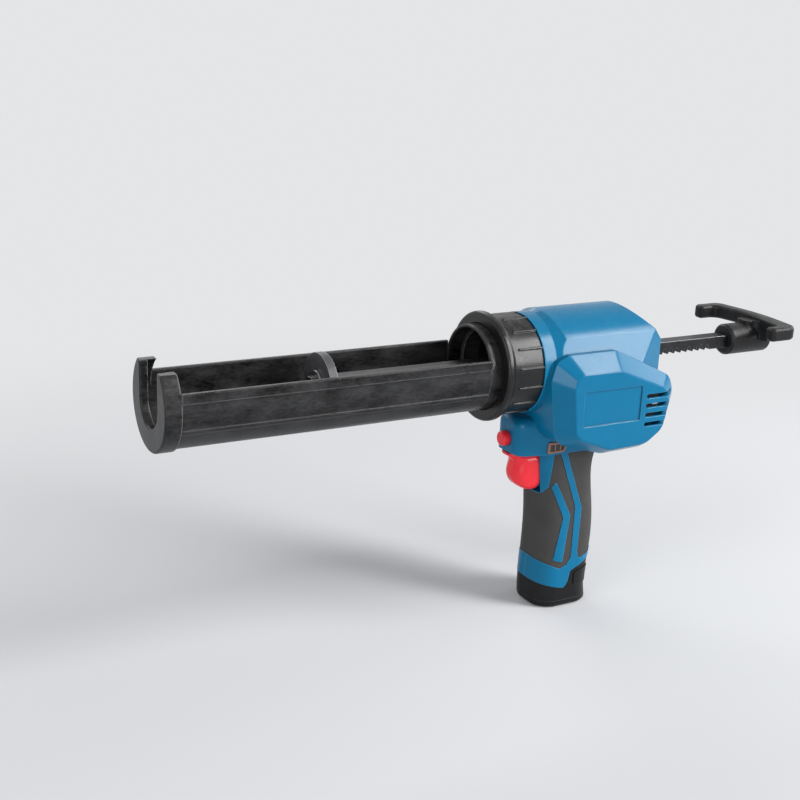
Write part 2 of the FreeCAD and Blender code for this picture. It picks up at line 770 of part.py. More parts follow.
def build_motor():
    """Sealed gearbox and motor, one behind the other on the drive gear's axis."""
    case = bar("y", drive_x, drive_z, gearbox_radius, gearbox_y, right_plate_y)
    case = case.makeChamfer(gearbox_chamfer, [e for e in case.Edges if e.Closed])
    seat_end = right_plate_y - output_shaft_seat - part_gap
    bore = output_shaft_radius + running_gap
    case = case.cut(bar("y", drive_x, drive_z, bore, seat_end, right_plate_y + 1))
    export("gearbox_case", case)
    can = bar("y", drive_x, drive_z, motor_radius, motor_y, gearbox_y)
    can = can.makeFillet(motor_round, [e for e in can.Edges if e.Closed and e.CenterOfMass.y < motor_y + 1])
    export("motor_can", can)
    cap_y = motor_y - motor_cap_length
    export("motor_end_cap", bar("y", drive_x, drive_z, motor_radius - motor_cap_step, cap_y, motor_y))
    half_width, half_thickness = terminal_width / 2, terminal_thickness / 2
    tags = [block(x - half_width, x + half_width, cap_y - terminal_length, cap_y,
                  drive_z - half_thickness, drive_z + half_thickness)
            for x in (drive_x - terminal_spread, drive_x + terminal_spread)]
    export("motor_terminals", *tags)


# Housing


def upper_body(depth):
    """Crowned body round the rod, with its walls moved in by a depth; the outside has rounded edges."""
    a = axis_height
    wide = body_half_width - depth
    shoulder = shoulder_half_width - 0.8 * depth
    bottom = a - 40.0
    left = [V(0, -wide, bottom), V(0, -wide, a), V(0, -shoulder, a + shoulder_height - depth)]
    right = [V(0, shoulder, a + shoulder_height - depth), V(0, wide, a), V(0, wide, bottom)]
    crown = Part.Arc(left[-1], V(0, 0, a + crown_height - depth), right[0]).toShape()
    section = Part.Wire(Part.makePolygon(left).Edges + [crown]
                        + Part.makePolygon(right + left[:1]).Edges)
    front = collar_front_x + 1.0 + depth
    back = rear_x - depth
    body = Part.Face(section).extrude(V(back - front, 0, 0))
    body.translate(V(front, 0, 0))
    fall = (crown_height - rear_slope_height) / (rear_x - slope_start_x)
    above = crown_height + 10.0
    slope_back = slope_start_x - 1.3 * depth
    side = [(front, bottom), (front, a + above), (slope_back - 10.0 / fall, a + above),
            (back, a + crown_height - fall * (back - slope_back)), (back, bottom)]
    narrow = rear_half_width - depth
    plan = [(front, -wide - 1), (taper_start_x, -wide - 1), (taper_start_x, -wide), (back, -narrow),
            (back, narrow), (taper_start_x, wide), (taper_start_x, wide + 1), (front, wide + 1)]
    cone_start = collar_front_x + collar_length
    spread = 2 * body_half_width / front_flare
    cone_end = cone_start + spread
    small = collar_radius - depth
    cone = turned([(front, 0), (front, small - 0.2), (cone_start, small),
                   (cone_end, small + front_flare * spread), (cone_end, 0)])
    body = body.common(prism(side, "y", -wide - 2, wide + 2))
    body = body.common(prism(plan, "z", bottom, a + above)).common(cone)
    if depth > 0:
        return body
    return body.makeFillet(body_round, [e for e in body.Edges if e.CenterOfMass.z > a + 2 * body_round])


# Side view of the motor pod, its edge on the body and its flat face: x, height from the axis, corner radius
pod_front_x = collar_front_x + 3.0
pod_root = [(pod_front_x, -4.0, 8.0), (pod_front_x + 3.5, 8.0, 5.0), (pod_front_x + 12.0, 12.0, 8.0),
            (9.4, 12.0, 8.0), (drive_x + 23.0, -9.0, 12.0), (drive_x + 27.0, -20.0, 14.0),
            (drive_x + 21.0, -46.0, 16.0), (drive_x + 5.0, -56.5, 18.0), (4.0, -57.5, 20.0),
            (pod_front_x + 6.0, -46.0, 14.0)]
pod_face = [(pod_front_x + 12.0, -8.0, 6.0), (pod_front_x + 13.5, -2.0, 3.0), (pod_front_x + 18.0, 1.0, 5.0),
            (7.0, 1.0, 6.0), (drive_x + 11.5, -14.0, 8.0), (drive_x + 16.5, -23.0, 9.0),
            (drive_x + 13.0, -42.0, 12.0), (drive_x, -51.0, 14.0), (4.0, -52.0, 16.0),
            (pod_front_x + 16.0, -41.0, 10.0)]


def motor_pod(depth):
    """Bulge across the body that holds the motor, drawn in towards a flat face on each side."""
    root = inset_outline(raised(pod_root, axis_height), depth)
    face = inset_outline(raised(pod_face, axis_height), depth)
    side_y = pod_face_y - depth
    core = prism(root, "y", -pod_root_y, pod_root_y)
    ends = []
    for side in (-1, 1):
        wires = [outline(root, "y", side * pod_root_y), outline(face, "y", side * side_y)]
        ends.append(Part.makeLoft(wires, True, True))
    pod = fused(core, *ends)
    if depth > 0:
        return pod
    rims = [e for e in pod.Edges if e.BoundBox.YLength < 1e-6 and abs(e.CenterOfMass.y) > side_y - 1e-3]
    return pod.makeFillet(pod_round, rims)


def neck():
    """Domed nose over the trigger and the neck between pod and grip."""
    front, side, nose = nose_front_x, neck_half_width, nose_half_width
    plan = [(front, -nose, 8), (front, nose, 8), (-22.0, side, 20), (30.0, side, 12), (30.0, -side, 12),
            (-22.0, -side, 20)]
    blank = prism(plan, "z", grip_height, nose_top)
    return blank.makeFillet(nose_round, [e for e in blank.Edges if e.BoundBox.ZMin > nose_top - 1e-3])


# Grip sections from the top down: height, then how far the front, rear and side lie outside the battery stick
grip_sections = [(grip_height + 11.0, 11.0, 15.5, 0.4), (grip_height - 10.0, 10.5, 3.2, 0.0),
                 (grip_height - 43.0, 6.7, 5.5, 0.6), (40.0, 6.3, 6.1, 0.8), (0.0, 6.3, 6.3, 1.0)]


def grip(depth, lowest):
    """Grip form from the neck down to a height, with its skin moved in by a depth."""
    wires = []
    for height, lead, tail, swell in grip_sections:
        front = -stick_half_x - lead
        rear = stick_half_x + tail
        half = grip_half_width + swell
        plan = [(front + depth, -half + depth), (rear - depth, -half + depth), (rear - depth, half - depth),
                (front + depth, half - depth)]
        wires.append(outline(plan, "z", height, grip_corner - depth))
    whole = Part.makeLoft(wires, True, False)
    top = grip_sections[0][0]
    return whole.common(block(-side_limit, side_limit, -side_limit, side_limit, lowest, top))


def foot_line(gap):
    """Side view of the line between grip and battery foot, from the front to the rear."""
    front, side = foot_height_front + gap, foot_height_side + gap
    return [(-40.0, front + 3.6), (-26.0, front), (-4.0 - gap, side, 2), (-0.7 - gap, side + 5.0, 2),
            (0.5 - gap, side + 12.2, 2), (14.0, side + 18.2), (40.0, side + 28.0)]


def band_zone():
    """Bare plastic round the bottom of the grip, with the long stripe that rises from it."""
    line = foot_line(0)
    low = foot_height_side
    bend = grip_height - 41.0
    top = [(40.0, low + 31.8), (14.0, low + 22.6), (6.4, low + 20.6, 2), (5.0, low + 26.2), (5.8, bend, 4),
           (-9.4, grip_height), (-14.4, grip_height), (0.3, bend + 1.5, 4), (0.0, low + 22.2),
           (-3.5, low + 17.0, 2), (-9.0, low + 15.4), (-26.0, low + 22.6), (-40.0, low + 28.2)]
    return prism(line + top, "y", -side_limit, side_limit)


def stripe_zone():
    """Short bent stripe that stands as an island in the rubber."""
    low = foot_height_side
    high = grip_height
    points = [(-18.4, high - 24.4), (-16.2, high - 19.8), (-3.2, high - 45.5, 3), (-6.9, low + 20.0),
              (-14.0, low + 21.8), (-8.9, high - 46.5, 3)]
    return prism(points, "y", -side_limit, side_limit, 0.8)


def throat_zone():
    """Bare plastic behind and below the trigger."""
    high = grip_height
    points = [(-side_limit, high + 13.0), (-19.0, high + 13.0), (-19.0, high - 2.0, 3),
              (-20.2, high - 24.0, 4), (-23.5, high - 30.0, 3), (-side_limit, high - 30.0)]
    return prism(points, "y", -side_limit, side_limit)


# Screws that close the housing, and posts of the control board: x and height from the axis of each
screw_places = [(-14.0, 24.0), (18.0, 23.0), (-27.0, -39.5), (drive_x + 11.0, -45.5), (27.0, -50.5)]
board_posts = [(-22.0, -14.0), (5.0, -29.0)]
board_outline = [(-27.0, -34.0), (10.0, -34.0), (10.0, -9.0), (-27.0, -9.0)]

# Trigger sections from the lip down: height from the plunger, front x, rear setback, narrowing of a side
trigger_top = trigger_drop - trigger_roof_gap
trigger_sections = [(trigger_top, -47.2, 0.0, 2.6), (5.6, -44.6, 0.0, 1.4), (2.0, -41.2, 0.0, 0.2),
                    (-4.0, -42.2, 0.0, 0.0), (-10.0, -41.8, 0.0, 0.0), (-14.5, -38.6, 0.4, 0.8),
                    (-17.2, -34.4, 1.6, 2.4), (-trigger_low, -31.4, 3.4, 4.4)]
gauge_outline = [(-25.2, 9.0), (-9.2, 8.0), (-13.0, 1.4), (-25.8, 1.4)]


def trigger_shape():
    """Finger lever with a rounded nose, and a skirt that stays inside the housing."""
    wires = []
    for height, front, setback, narrowing in trigger_sections:
        half = trigger_half_width - narrowing
        rear = trigger_rear_x - setback
        nose = trigger_nose * half
        plan = [(rear, half), (front, half, nose), (front, -half, nose), (rear, -half)]
        wires.append(outline(plan, "z", trigger_z + height))
    lever = Part.makeLoft(wires, True, False)
    skirt = block(trigger_rear_x - part_gap, trigger_skirt_x, -trigger_half_width, trigger_half_width,
                  trigger_z - trigger_skirt_low, trigger_z + trigger_top)
    return fused(lever, skirt)


def housing_cuts():
    """Everything that is hollowed out of the housing."""
    play = stick_play
    wide = trigger_half_width + part_gap
    hollow = [upper_body(housing_wall), motor_pod(housing_wall)]
    stick = [(-stick_half_x - play, -stick_half_y - play), (stick_half_x + play, -stick_half_y - play),
             (stick_half_x + play, stick_half_y + play), (-stick_half_x - play, stick_half_y + play)]
    hollow.append(prism(stick, "z", -5.0, stick_top + part_gap + contact_block_height, stick_corner + play))
    hollow.append(block(switch_front_x, switch_front_x + switch_length, -switch_half_width, switch_half_width,
                        switch_bottom, switch_bottom + switch_height))
    roof = trigger_z + trigger_top + part_gap + trigger_roof_gap
    floor = trigger_z - trigger_low - trigger_floor_gap
    step = trigger_z - trigger_skirt_low - part_gap
    deep_x = trigger_skirt_x + trigger_travel + part_gap
    rear_low = trigger_rear_x + trigger_travel + part_gap
    slot = prism([(-side_limit, floor), (rear_low, floor), (rear_low, step), (deep_x, step), (deep_x, roof),
                  (-side_limit, roof)], "y", -wide, wide)
    guide = bar("x", 0, trigger_z, plunger_radius + part_gap, trigger_skirt_x, switch_front_x + 1)
    button = bar("x", 0, button_z, button_radius + slide_gap, -side_limit,
                 button_front_x + button_length + button_travel + part_gap)
    bore_end = bulkhead_x + frame_plate + frame_front_drop
    bore_step = bulkhead_x + seat_gap
    frame_bore = stop_ring_radius + frame_disc_gap
    bore = turned([(-side_limit, 0), (-side_limit, ring_bore_radius), (bore_step, ring_bore_radius),
                   (bore_step, frame_bore), (bore_end, frame_bore), (bore_end, 0)])
    hollow += [slot, guide, button, bore, turned(adaptor_profile(seat_gap))]
    hollow.append(bar("x", 0, rod_middle_z, rod_bush_radius, rear_bush_x, rear_x + 2 * rear_boss_length))
    low, high = axis_height - label_low, axis_height - label_high
    vent_end = drive_x + 40.0
    for side in (-1, 1):
        face = side * pod_face_y
        bed = side * (pod_face_y - label_depth)
        hollow.append(prism([(-20.0, low), (26.0, low), (26.0, high), (-20.0, high)], "y", min(face, bed),
                            max(face, bed), 1.5))
        inner = side * (pod_root_y + 2.0)
        outer = side * (pod_face_y + 5.0)
        for k in range(vent_count):
            top = axis_height - vent_drop - k * vent_pitch
            slit = [(vent_front_x, top - vent_height), (vent_end, top - vent_height), (vent_end, top),
                    (vent_front_x, top)]
            hollow.append(prism(slit, "y", min(inner, outer), max(inner, outer), 1.2))
    return hollow


def housing_screw(x, z, radius, head_radius, head_length):
    """Screw lying along Y, with its head on the right."""
    shank = bar("y", x, z, radius, -screw_reach, screw_seat_y)
    return fused(shank, bar("y", x, z, head_radius, screw_seat_y, screw_seat_y + head_length))


def build_housing():
    """Two moulded halves that meet on the middle plane, the rubber pads and the closing screws."""
    collar = bar("x", 0, axis_height, collar_radius, collar_front_x, collar_front_x + collar_length + 2)
    rear_boss = bar("x", 0, rod_middle_z, rear_boss_radius, rear_bush_x, rear_x + rear_boss_length)
    rim = [e for e in rear_boss.Edges if e.Closed and e.CenterOfMass.x > rear_x]
    rear_boss = rear_boss.makeChamfer(rear_boss_chamfer, rim)
    below = prism(foot_line(0) + [(40.0, -10.0), (-40.0, -10.0)], "y", -side_limit, side_limit)
    grip_full = grip(0, 0.0).cut(below)
    core = grip(pad_thickness, 0.0).common(grip_full)
    zones = fused(band_zone(), stripe_zone(), throat_zone())
    bare = grip(-stripe_proud, 0.0).cut(below).common(zones)
    solid = fused(upper_body(0), collar, motor_pod(0), rear_boss, neck(), core, bare)
    shell = solid.cut(housing_cuts())
    bosses = []
    for x, z in raised(screw_places, axis_height):
        bosses.append(bar("y", x, z, screw_boss_radius, -side_limit, side_limit))
    for x, z in raised(board_posts, axis_height):
        bosses.append(bar("y", x, z, board_post_radius, housing_wall / 2 - pod_face_y, board_y))
    bosses = solid.common(Part.makeCompound(bosses))
    shell = shell.fuse(bosses).removeSplitter()
    drills = []
    screws = []
    for x, z in raised(screw_places, axis_height):
        drills.append(housing_screw(x, z, screw_shank_radius, screw_head_radius + part_gap, side_limit))
        shank = screw_shank_radius - running_gap
        screws.append(housing_screw(x, z, shank, screw_head_radius, screw_head_length))
    gauge = build_gauge()
    shell = shell.cut(drills)
    reach = 2 * side_limit
    left_side = block(-reach, reach, -reach, 0, -reach, 3 * reach)
    right_side = block(-reach, reach, 0, reach, -reach, 3 * reach)
    left = shell.common(left_side).cut(gauge)
    right = shell.common(right_side)
    export("left_housing", left)
    export("right_housing", right)
    export("housing_screws", *screws)
    pads = grip_full.cut([solid, *housing_cuts()])
    export("left_grip_pad", *pads.common(left_side).Solids)
    export("right_grip_pad", *pads.common(right_side).Solids)


def build_gauge():
    """Charge gauge on the left of the neck: bezel, lens and board. Returns the recess they need."""
    outer = -neck_half_width - gauge_proud
    inner = outer + gauge_thickness
    border = raised(gauge_outline, grip_height)
    window = inset_outline(border, gauge_rim)
    whole = prism(border, "y", outer, inner, 0.8)
    pane = prism(window, "y", outer + 0.4, inner, 0.4)
    opening = prism(window, "y", outer - 1, inner + 1, 0.4)
    board = prism(inset_outline(border, gauge_rim / 2), "y", inner, inner + board_thickness)
    export("gauge_bezel", whole.cut(opening))
    export("gauge_lens", pane)
    export("gauge_board", board)
    return [whole, board]


def build_controls():
    """Trigger, its plunger, the switch, the lock button and the contact block."""
    export("trigger", trigger_shape())
    plunger_end = switch_front_x + 1.0
    export("trigger_plunger", bar("x", 0, trigger_z, plunger_radius, trigger_skirt_x, plunger_end))
    body = block(switch_front_x, switch_front_x + switch_length, -switch_half_width, switch_half_width,
                 switch_bottom, switch_bottom + switch_height)
    deep = plunger_end + trigger_travel + part_gap
    body = body.cut(bar("x", 0, trigger_z, plunger_radius + part_gap, switch_front_x - 1, deep))
    export("switch_body", body)
    button = bar("x", 0, button_z, button_radius, button_front_x, button_front_x + button_length)
    rim = [e for e in button.Edges if e.Closed and e.CenterOfMass.x < button_front_x + 1]
    button = button.makeFillet(button_round, rim)
    export("lock_button", button)
    seat = stick_top + part_gap
    plan = [(-stick_half_x, -stick_half_y), (stick_half_x, -stick_half_y), (stick_half_x, stick_half_y),
            (-stick_half_x, stick_half_y)]
    export("contact_block", prism(inset_outline(plan, -stick_play), "z", seat, seat + contact_block_height,
                                  stick_corner + stick_play))
    blades = [blade(x, 0, stick_top - blade_reach, seat) for x in (-blade_pitch, 0.0, blade_pitch)]
    export("contact_blades", *blades)
    board = raised(board_outline, axis_height)
    export("control_board", prism(board, "y", board_y, board_y + board_thickness, 2.0))
    export("rear_rod_bush", rod_bush(rear_bush_x, rear_bush_x + rear_bush_length))


def blade(x, gap, low, high):
    """Flat contact blade, or with a gap the slot that it slides in."""
    half_x = blade_thickness / 2 + gap
    half_y = blade_width / 2 + gap
    return block(x - half_x, x + half_x, -half_y, half_y, low, high)


# Battery


def build_battery():
    """Slide-out battery: case with a stick, base, cells, contact head and two side latches."""
    above = foot_line(-part_gap) + [(40.0, axis_height), (-40.0, axis_height)]
    above = prism(above, "y", -side_limit, side_limit)
    foot = grip(0, 0.0).cut(above)
    foot = foot.makeFillet(foot_round, [e for e in foot.Edges if e.BoundBox.ZMax < 1e-3])
    plan = [(-stick_half_x, -stick_half_y), (stick_half_x, -stick_half_y), (stick_half_x, stick_half_y),
            (-stick_half_x, stick_half_y)]
    stick = prism(plan, "z", base_height, stick_top, stick_corner)
    inside = inset_outline(plan, stick_wall)
    inside_corner = stick_corner - stick_wall
    hollow = prism(inside, "z", base_height, stick_top - stick_roof, inside_corner)
    latch_cut = latch_blocks(part_gap, latch_travel)
    split = block(-side_limit, side_limit, -side_limit, side_limit, -1, base_height)
    slots = [blade(x, part_gap, stick_top - blade_reach - 1.0, stick_top + 1.0)
             for x in (-blade_pitch, 0.0, blade_pitch)]
    whole = fused(foot, stick).cut([hollow] + slots + latch_cut)
    export("battery_case", whole.cut(split))
    export("battery_base", foot.common(split))
    cells = [bar("z", x, y, cell_radius, cell_bottom, cell_bottom + cell_length)
             for x, y in ((-cell_spread, -cell_offset), (cell_spread, -cell_offset), (0.0, cell_offset))]
    export("battery_cells", *cells)
    holder = prism(inside, "z", base_height, cell_bottom, inside_corner)
    export("cell_holder", holder.cut(latch_cut))
    for name, blank in zip(("left_latch", "right_latch"), latch_blocks(0, 0)):
        export(name, blank)


def latch_blocks(gap, travel):
    """Side buttons of the battery, or with a gap and travel the pockets that hold them."""
    front, rear = latch_front_x - gap, latch_front_x + latch_length + gap
    low, high = latch_low - gap, latch_low + latch_height + gap
    points = [(front, low), (rear, low), (rear, high), (front, high - latch_slant)]
    outer = grip(-latch_proud, 0.0)
    skin = grip(latch_thickness + travel + gap, 0.0)
    blanks = []
    for side in (-1, 1):
        inner = side * (latch_root_y - travel - gap)
        blank = prism(points, "y", min(inner, side * side_limit), max(inner, side * side_limit), 2.0)
        blanks.append(blank.common(outer).cut(skin))
    return blanks


os.makedirs("parts", exist_ok=True)
build_barrel()
build_rod()
build_gear_frame()
build_drive()
build_motor()
build_housing()
build_controls()
build_battery()
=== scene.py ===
"""Looks of a battery caulking tool: its finishes, small trim and studio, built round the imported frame."""

import logging
import math
from dataclasses import dataclass, field
from enum import Enum
from typing import ClassVar, Sequence

import bmesh
import bpy
from mathutils import Matrix, Vector


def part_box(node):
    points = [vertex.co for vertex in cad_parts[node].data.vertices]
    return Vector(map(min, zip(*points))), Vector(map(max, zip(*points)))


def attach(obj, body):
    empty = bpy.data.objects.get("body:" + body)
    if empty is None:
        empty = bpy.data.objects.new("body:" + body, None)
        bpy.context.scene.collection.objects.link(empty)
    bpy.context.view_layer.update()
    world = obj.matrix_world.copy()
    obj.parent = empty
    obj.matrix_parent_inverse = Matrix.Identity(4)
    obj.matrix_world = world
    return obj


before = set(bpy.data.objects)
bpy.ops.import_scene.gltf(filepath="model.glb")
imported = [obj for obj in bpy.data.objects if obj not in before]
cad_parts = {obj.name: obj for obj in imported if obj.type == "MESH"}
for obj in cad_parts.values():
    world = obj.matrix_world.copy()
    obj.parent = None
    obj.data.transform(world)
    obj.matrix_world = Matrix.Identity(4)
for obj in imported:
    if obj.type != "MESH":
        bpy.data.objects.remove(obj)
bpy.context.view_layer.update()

MM = 0.001
Colour = tuple[float, float, float]
Point = tuple[float, float, float]
log = logging.getLogger("caulking_tool")


class Body(str, Enum):
    """Bodies that new pieces ride on."""

    HOUSING = "housing"


class Slot(str, Enum):
    """Material slots of the record; each new piece holds one."""

    BLACK_PLASTIC = "black_plastic"


class Group(str, Enum):
    """Shader groups that several finishes share."""

    MOTTLE = "surface_mottle"
    GRAIN = "moulded_grain"
    # Rubbed edges, pale enough to paint edge highlights as well
    EDGE = "edge_wear_and_highlight"
    DUST = "settled_dust"
    # Painted shade in joints and inner corners
    CREVICE = "crevice_painted_shade"


def srgb(red: int, green: int, blue: int) -> Colour:
    """Turn a display colour into the linear colour that a shader takes.

    Args:
        red: Red, from 0 to 255.
        green: Green, from 0 to 255.
        blue: Blue, from 0 to 255.

    Returns:
        The same colour in linear light.
    """
    def linear(level: int) -> float:
        """One channel in linear light."""
        share = level / 255
        return share / 12.92 if share <= 0.04045 else ((share + 0.055) / 1.055) ** 2.4

    return linear(red), linear(green), linear(blue)


# Edge wear that also paints edge highlights, dust, and painted shade in crevices, which the finishes share;
# lengths are in millimetres
COAT_ROUGHNESS = 0.12
WEAR_AND_HIGHLIGHT_SHARE = 0.7
WEAR_AND_HIGHLIGHT_PATCH = 6.0
DUST_PATCH = 4.0
DUST_COLOUR = srgb(196, 194, 190)
PAINTED_SHADE_REACH = 1.2
PAINTED_SHADE_COLOUR = srgb(10, 10, 11)
SHADER_SAMPLES = 6

# How the mesh of a new piece is finished; lengths are in millimetres
SMOOTH_ANGLE = math.radians(35.0)
MERGE_DISTANCE = 0.001
ROUND_SEGMENTS = 3

# Sockets that a Mix node uses for colours: the share, the two colours and the result
MIX_INPUTS = (0, 6, 7)
MIX_RESULT = 2


@dataclass
class Wiring:
    """A node tree with short calls to add nodes and links."""

    tree: bpy.types.NodeTree

    def add(self, kind: str, **values: object) -> bpy.types.Node:
        """Add a node and set its properties.

        Args:
            kind: Blender's type name of the node.
            **values: Properties to set on it.

        Returns:
            The new node.
        """
        node = self.tree.nodes.new(kind)
        for name, value in values.items():
            setattr(node, name, value)
        return node

    def feed(self, value: object, socket: bpy.types.NodeSocket) -> None:
        """Link a socket to an input, or set the input to a number or colour.

        Args:
            value: A socket, a number or a colour.
            socket: The input.
        """
        if isinstance(value, bpy.types.NodeSocket):
            self.tree.links.new(value, socket)
        elif isinstance(value, tuple):
            socket.default_value = (*value, 1.0)
        else:
            socket.default_value = value

    def math(self, operation: str, first: object, second: object) -> bpy.types.NodeSocket:
        """Add a math node.

        Args:
            operation: Blender's name of the operation.
            first: A socket or a number.
            second: A socket or a number.

        Returns:
            The node's result.
        """
        node = self.add("ShaderNodeMath", operation=operation)
        self.feed(first, node.inputs[0])
        self.feed(second, node.inputs[1])
        return node.outputs[0]

    def noise(self, where: bpy.types.NodeSocket, scale: object, detail: float) -> bpy.types.NodeSocket:
        """Add a noise texture.

        Args:
            where: Coordinates.
            scale: A socket or a number.
            detail: Octaves of the noise.

        Returns:
            The noise from 0 to 1.
        """
        node = self.add("ShaderNodeTexNoise")
        node.inputs["Detail"].default_value = detail
        self.feed(where, node.inputs["Vector"])
        self.feed(scale, node.inputs["Scale"])
        return node.outputs["Fac"]

    def between(self, value: bpy.types.NodeSocket, low: float, high: float) -> bpy.types.NodeSocket:
        """Stretch a range of values to 0 to 1 with soft ends.

        Args:
            value: The value to stretch.
            low: Value that becomes 0.
            high: Value that becomes 1.

        Returns:
            The stretched value.
        """
        node = self.add("ShaderNodeMapRange", interpolation_type="SMOOTHSTEP")
        node.inputs["From Min"].default_value = low
        node.inputs["From Max"].default_value = high
        self.feed(value, node.inputs["Value"])
        return node.outputs["Result"]

    def mix(self, share: object, first: object, second: object) -> bpy.types.NodeSocket:
        """Mix two colours.

        Args:
            share: Socket or number from 0 to 1.
            first: Socket or colour at 0.
            second: Socket or colour at 1.

        Returns:
            The mixed colour.
        """
        node = self.add("ShaderNodeMix", data_type="RGBA")
        for value, socket in zip((share, first, second), MIX_INPUTS):
            self.feed(value, node.inputs[socket])
        return node.outputs[MIX_RESULT]

    def seen(self) -> bpy.types.NodeSocket:
        """Tell the rays that look at the background from those that only light the object.

        Returns:
            1 for camera, glossy and transmission rays, and 0 for the rest.
        """
        path = self.add("ShaderNodeLightPath").outputs
        mirrored = self.math("MAXIMUM", path["Is Glossy Ray"], path["Is Transmission Ray"])
        return self.math("MAXIMUM", path["Is Camera Ray"], mirrored)


class ShaderGroups:
    """Effects that the finishes share, each built once as a shader group."""

    cloud_share: ClassVar[float] = 0.65
    cloud_detail: ClassVar[float] = 5.0
    streak_scale: ClassVar[float] = 7.0
    streak_detail: ClassVar[float] = 3.0
    pit_scale: ClassVar[float] = 1.7
    pit_share: ClassVar[float] = 0.6
    pit_detail: ClassVar[float] = 2.0
    bend_range: ClassVar[tuple[float, float]] = (0.01, 0.16)
    patch_range: ClassVar[tuple[float, float]] = (0.22, 0.5)
    patch_detail: ClassVar[float] = 4.0
    upward_range: ClassVar[tuple[float, float]] = (0.1, 1.0)
    speck_range: ClassVar[tuple[float, float]] = (0.42, 0.75)
    speck_detail: ClassVar[float] = 6.0
    shut_range: ClassVar[tuple[float, float]] = (0.08, 0.5)

    def __init__(self) -> None:
        """Build every group."""
        self.trees = {Group.MOTTLE: self.build_mottle(), Group.GRAIN: self.build_grain(),
                      Group.EDGE: self.build_edge(), Group.DUST: self.build_dust(),
                      Group.CREVICE: self.build_crevice()}

    @staticmethod
    def start(name: Group, inputs: Sequence[str],
              output: str) -> tuple[Wiring, dict[str, bpy.types.NodeSocket], bpy.types.NodeSocket]:
        """Make an empty group with number inputs and one number output.

        Args:
            name: Name of the group.
            inputs: Names of the inputs.
            output: Name of the output.

        Returns:
            The wiring, the inputs by name and the socket to feed the output.
        """
        tree = bpy.data.node_groups.new(name.value, "ShaderNodeTree")
        for title in inputs:
            tree.interface.new_socket(title, in_out="INPUT", socket_type="NodeSocketFloat")
        tree.interface.new_socket(output, in_out="OUTPUT", socket_type="NodeSocketFloat")
        wires = Wiring(tree)
        source = wires.add("NodeGroupInput")
        target = wires.add("NodeGroupOutput")
        return wires, {title: source.outputs[title] for title in inputs}, target.inputs[output]

    def build_mottle(self) -> bpy.types.NodeTree:
        """Cloudy variation, drawn out along the barrel, with finer streaks in it; the output is a mask.

        Returns:
            The group.
        """
        wires, given, out = self.start(Group.MOTTLE, ["Scale", "Stretch", "Contrast"], "Mask")
        apart = wires.add("ShaderNodeSeparateXYZ")
        wires.feed(wires.add("ShaderNodeTexCoord").outputs["Object"], apart.inputs[0])
        drawn = wires.add("ShaderNodeCombineXYZ")
        wires.feed(wires.math("DIVIDE", apart.outputs["X"], given["Stretch"]), drawn.inputs["X"])
        wires.feed(apart.outputs["Y"], drawn.inputs["Y"])
        wires.feed(apart.outputs["Z"], drawn.inputs["Z"])
        where = drawn.outputs[0]
        clouds = wires.noise(where, given["Scale"], self.cloud_detail)
        finer = wires.math("MULTIPLY", given["Scale"], self.streak_scale)
        fine = wires.noise(where, finer, self.streak_detail)
        both = wires.math("ADD", wires.math("MULTIPLY", clouds, self.cloud_share),
                          wires.math("MULTIPLY", fine, 1 - self.cloud_share))
        centred = wires.math("MULTIPLY", wires.math("SUBTRACT", both, 0.5), given["Contrast"])
        node = wires.add("ShaderNodeClamp")
        wires.feed(wires.math("ADD", centred, 0.5), node.inputs["Value"])
        wires.feed(node.outputs["Result"], out)
        return wires.tree

    def build_grain(self) -> bpy.types.NodeTree:
        """Spark-eroded mould texture: small rounded pits and bumps; the output is a height.

        Returns:
            The group.
        """
        wires, given, out = self.start(Group.GRAIN, ["Scale"], "Height")
        where = wires.add("ShaderNodeTexCoord").outputs["Object"]
        pits = wires.add("ShaderNodeTexVoronoi", feature="SMOOTH_F1")
        wires.feed(where, pits.inputs["Vector"])
        wires.feed(given["Scale"], pits.inputs["Scale"])
        finer = wires.math("MULTIPLY", given["Scale"], self.pit_scale)
        fine = wires.math("MULTIPLY", wires.noise(where, finer, self.pit_detail), self.pit_share)
        wires.feed(wires.math("ADD", pits.outputs["Distance"], fine), out)
        return wires.tree

    def build_edge(self) -> bpy.types.NodeTree:
        """Rubbed edges that also paint highlights on rounded edges: where the rounded normal leaves the
        face's own, broken up by noise.

        Returns:
            The group.
        """
        wires, given, out = self.start(Group.EDGE, ["Width", "Scale"], "Mask")
        where = wires.add("ShaderNodeTexCoord").outputs["Object"]
        rounded = wires.add("ShaderNodeBevel", samples=SHADER_SAMPLES)
        wires.feed(given["Width"], rounded.inputs["Radius"])
        dot = wires.add("ShaderNodeVectorMath", operation="DOT_PRODUCT")
        wires.feed(rounded.outputs["Normal"], dot.inputs[0])
        wires.feed(wires.add("ShaderNodeNewGeometry").outputs["Normal"], dot.inputs[1])
        bend = wires.between(wires.math("SUBTRACT", 1.0, dot.outputs["Value"]), *self.bend_range)
        broken = wires.between(wires.noise(where, given["Scale"], self.patch_detail), *self.patch_range)
        wires.feed(wires.math("MULTIPLY", bend, broken), out)
        return wires.tree

    def build_dust(self) -> bpy.types.NodeTree:
        """Thin dust that settles on faces that look up; the output is a mask.

        Returns:
            The group.
        """
        wires, given, out = self.start(Group.DUST, ["Scale"], "Mask")
        place = wires.add("ShaderNodeTexCoord")
        apart = wires.add("ShaderNodeSeparateXYZ")
        wires.feed(place.outputs["Normal"], apart.inputs[0])
        upward = wires.between(apart.outputs["Z"], *self.upward_range)
        cloud = wires.noise(place.outputs["Object"], given["Scale"], self.speck_detail)
        specks = wires.between(cloud, *self.speck_range)
        wires.feed(wires.math("MULTIPLY", upward, specks), out)
        return wires.tree

